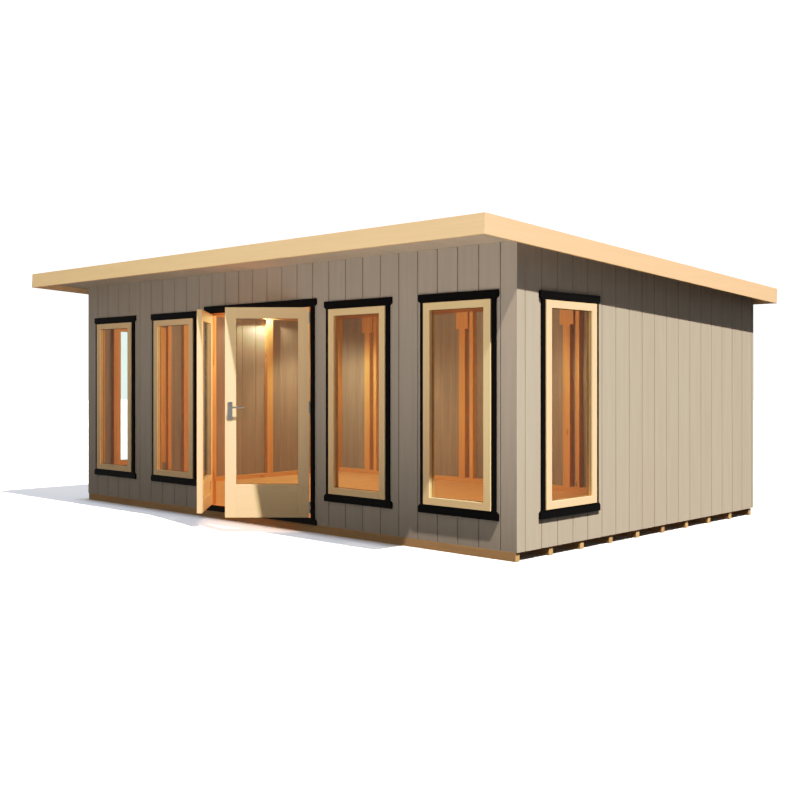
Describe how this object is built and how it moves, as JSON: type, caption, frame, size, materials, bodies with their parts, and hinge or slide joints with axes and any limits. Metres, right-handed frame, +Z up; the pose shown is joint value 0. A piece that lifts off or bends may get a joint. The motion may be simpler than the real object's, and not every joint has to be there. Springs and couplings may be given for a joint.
{
  "type": "garden office pod",
  "caption": "Timber garden office with a shallow pent roof, tall trimmed windows, board cladding on low bearers and outward-opening glazed double doors.",
  "frame": {"origin": "centre of the roof outline in plan, at ground level, with the doors standing open at rest", "axes": "+X along the front wall to the right seen from the front, +Y from the front to the back, +Z up; the doors are in the wall that faces -Y"},
  "size_m": [6.346, 4.583, 2.4885],
  "materials": {
    "bearer_timber": "sawn softwood, treated",
    "floor_boards": "planed softwood boards",
    "frame_timber": "planed softwood, unpainted",
    "wall_boards": "vertical boards, warm grey paint",
    "ceiling_boards": "planed softwood boards",
    "roof_panel": "boarded roof panel",
    "roof_membrane": "dark roofing membrane",
    "cream_paint": "cream satin paint",
    "glazing": "clear sealed glazing unit",
    "black_paint": "near-black satin paint",
    "lining_timber": "planed softwood lining",
    "hinge_metal": "pale coated steel",
    "handle_metal": "brushed satin"
  },
  "bodies": {
    "building": {"bearers": "bearer_timber", "floor_deck": "floor_boards", "sole_plates": "frame_timber", "front_wall_left": "wall_boards", "front_wall_right": "wall_boards", "front_wall_over_door": "wall_boards", "left_wall": "wall_boards", "right_wall": "wall_boards", "back_wall": "wall_boards", "corner_posts": "frame_timber", "front_wall_studs": "frame_timber", "side_wall_posts": "frame_timber", "side_wall_headers": "frame_timber", "back_wall_posts": "frame_timber", "back_wall_studs": "frame_timber", "ceiling_boards": "ceiling_boards", "soffit": "wall_boards", "roof_panel": "roof_panel", "roof_covering": "roof_membrane", "fascia_front": "cream_paint", "fascia_back": "cream_paint", "fascia_left": "cream_paint", "fascia_right": "cream_paint", "front_window_frames": "cream_paint", "front_window_glass": "glazing", "front_window_trims": "black_paint", "left_window_frame": "cream_paint", "left_window_glass": "glazing", "left_window_trim": "black_paint", "right_window_frame": "cream_paint", "right_window_glass": "glazing", "right_window_trim": "black_paint", "door_frame": "lining_timber", "door_trim": "black_paint", "hinges_on_frame": "hinge_metal"},
    "left_door": {"left_door_leaf": "cream_paint", "left_door_glass": "glazing", "left_door_hinges": "hinge_metal"},
    "right_door": {"right_door_leaf": "cream_paint", "right_door_glass": "glazing", "right_door_hinges": "hinge_metal", "handle_plates": "handle_metal"},
    "lever": {"door_lever": "handle_metal"}
  },
  "joints": [
    {"name": "left_door_hinge", "type": "hinge", "parent": "building", "child": "left_door", "pos_m": [-0.74525, -1.73153, 1], "axis": [0, 0, -1], "range_deg": [-44, 66]},
    {"name": "right_door_hinge", "type": "hinge", "parent": "building", "child": "right_door", "pos_m": [0.74525, -1.73153, 1], "axis": [0, 0, 1], "range_deg": [-44, 66]},
    {"name": "lever_turn", "type": "hinge", "parent": "right_door", "child": "lever", "pos_m": [0.22498, -2.19363, 1.097], "axis": [-0.6947, 0.7193, 0], "range_deg": [0, 40], "stiffness_Nm_per_rad": 1.5, "springref_deg": -20.05}
  ]
}
